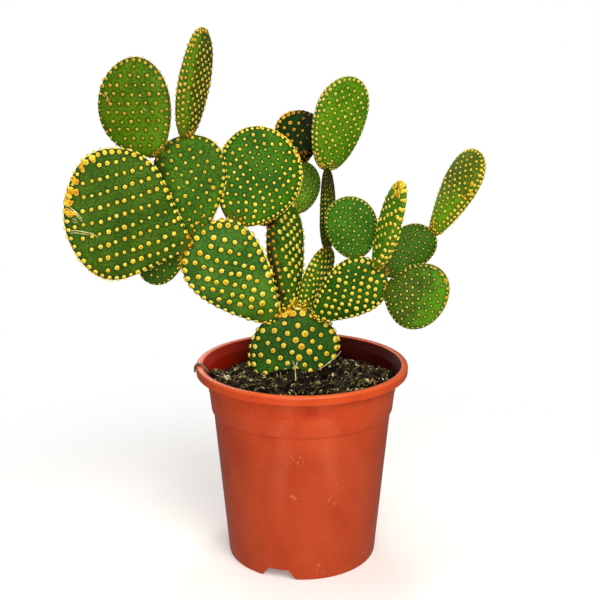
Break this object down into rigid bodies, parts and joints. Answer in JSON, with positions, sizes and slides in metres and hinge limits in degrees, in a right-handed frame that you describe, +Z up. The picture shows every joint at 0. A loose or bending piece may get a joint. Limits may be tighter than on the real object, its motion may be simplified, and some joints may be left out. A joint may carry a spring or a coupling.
{
  "type": "potted bunny ears cactus",
  "caption": "Bunny ears cactus of flat jointed pads dotted with golden areoles, growing from soil in a tapered terracotta-coloured plastic nursery pot.",
  "frame": {"origin": "centre of the pot's flat underside, on the surface it stands on", "axes": "+Z up along the pot's axis, +X to the right and -Y towards the viewer of the pictured side"},
  "size_m": [0.3092, 0.17, 0.4197],
  "materials": {
    "green_skin": "matte green cactus skin with golden areoles",
    "young_skin": "matte lighter green skin of young pads with small pale areoles",
    "shaded_skin": "matte dark green skin of inner and hidden pads",
    "soil": "dark crumbly potting soil",
    "pot": "satin terracotta-coloured moulded plastic"
  },
  "bodies": {
    "root": {"pot": "pot", "soil": "soil", "base_pad": "green_skin", "left_low_pad": "green_skin", "far_left_pad": "green_skin", "hidden_left_pad": "shaded_skin", "left_mid_pad": "green_skin", "upper_left_pad": "green_skin", "left_upright_pad": "green_skin", "mid_top_pad": "green_skin", "centre_pad": "green_skin", "centre_back_pad": "green_skin", "right_low_pad": "green_skin", "mid_back_pad": "young_skin", "dark_back_pad": "shaded_skin", "tail_back_pad": "shaded_skin", "stalk_pad": "shaded_skin", "top_right_pad": "green_skin", "round_right_pad": "young_skin", "right_upright_pad": "green_skin", "right_mid_pad": "young_skin", "right_round_low_pad": "young_skin", "far_right_pad": "green_skin"}
  },
  "joints": []
}
